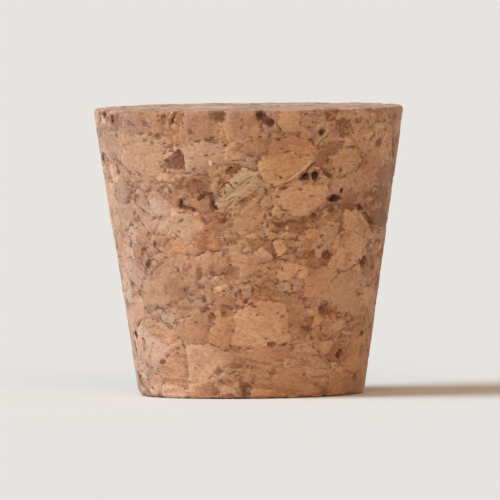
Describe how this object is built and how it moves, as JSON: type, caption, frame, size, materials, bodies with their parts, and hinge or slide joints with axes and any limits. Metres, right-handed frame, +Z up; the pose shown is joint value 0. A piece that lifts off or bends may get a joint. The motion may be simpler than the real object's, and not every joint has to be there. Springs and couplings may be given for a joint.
{
  "type": "cork stopper",
  "caption": "Short tapered bottle stopper of pressed cork granules, with ground faces, worn edges and small torn pits.",
  "frame": {"origin": "centre of the narrow end face", "axes": "+Z up the axis from the narrow end to the wide end, -Y to the front"},
  "size_m": [0.0236, 0.0236, 0.022],
  "materials": {
    "cork": "matte, mottled cork granules"
  },
  "bodies": {
    "root": {"stopper": "cork"}
  },
  "joints": []
}
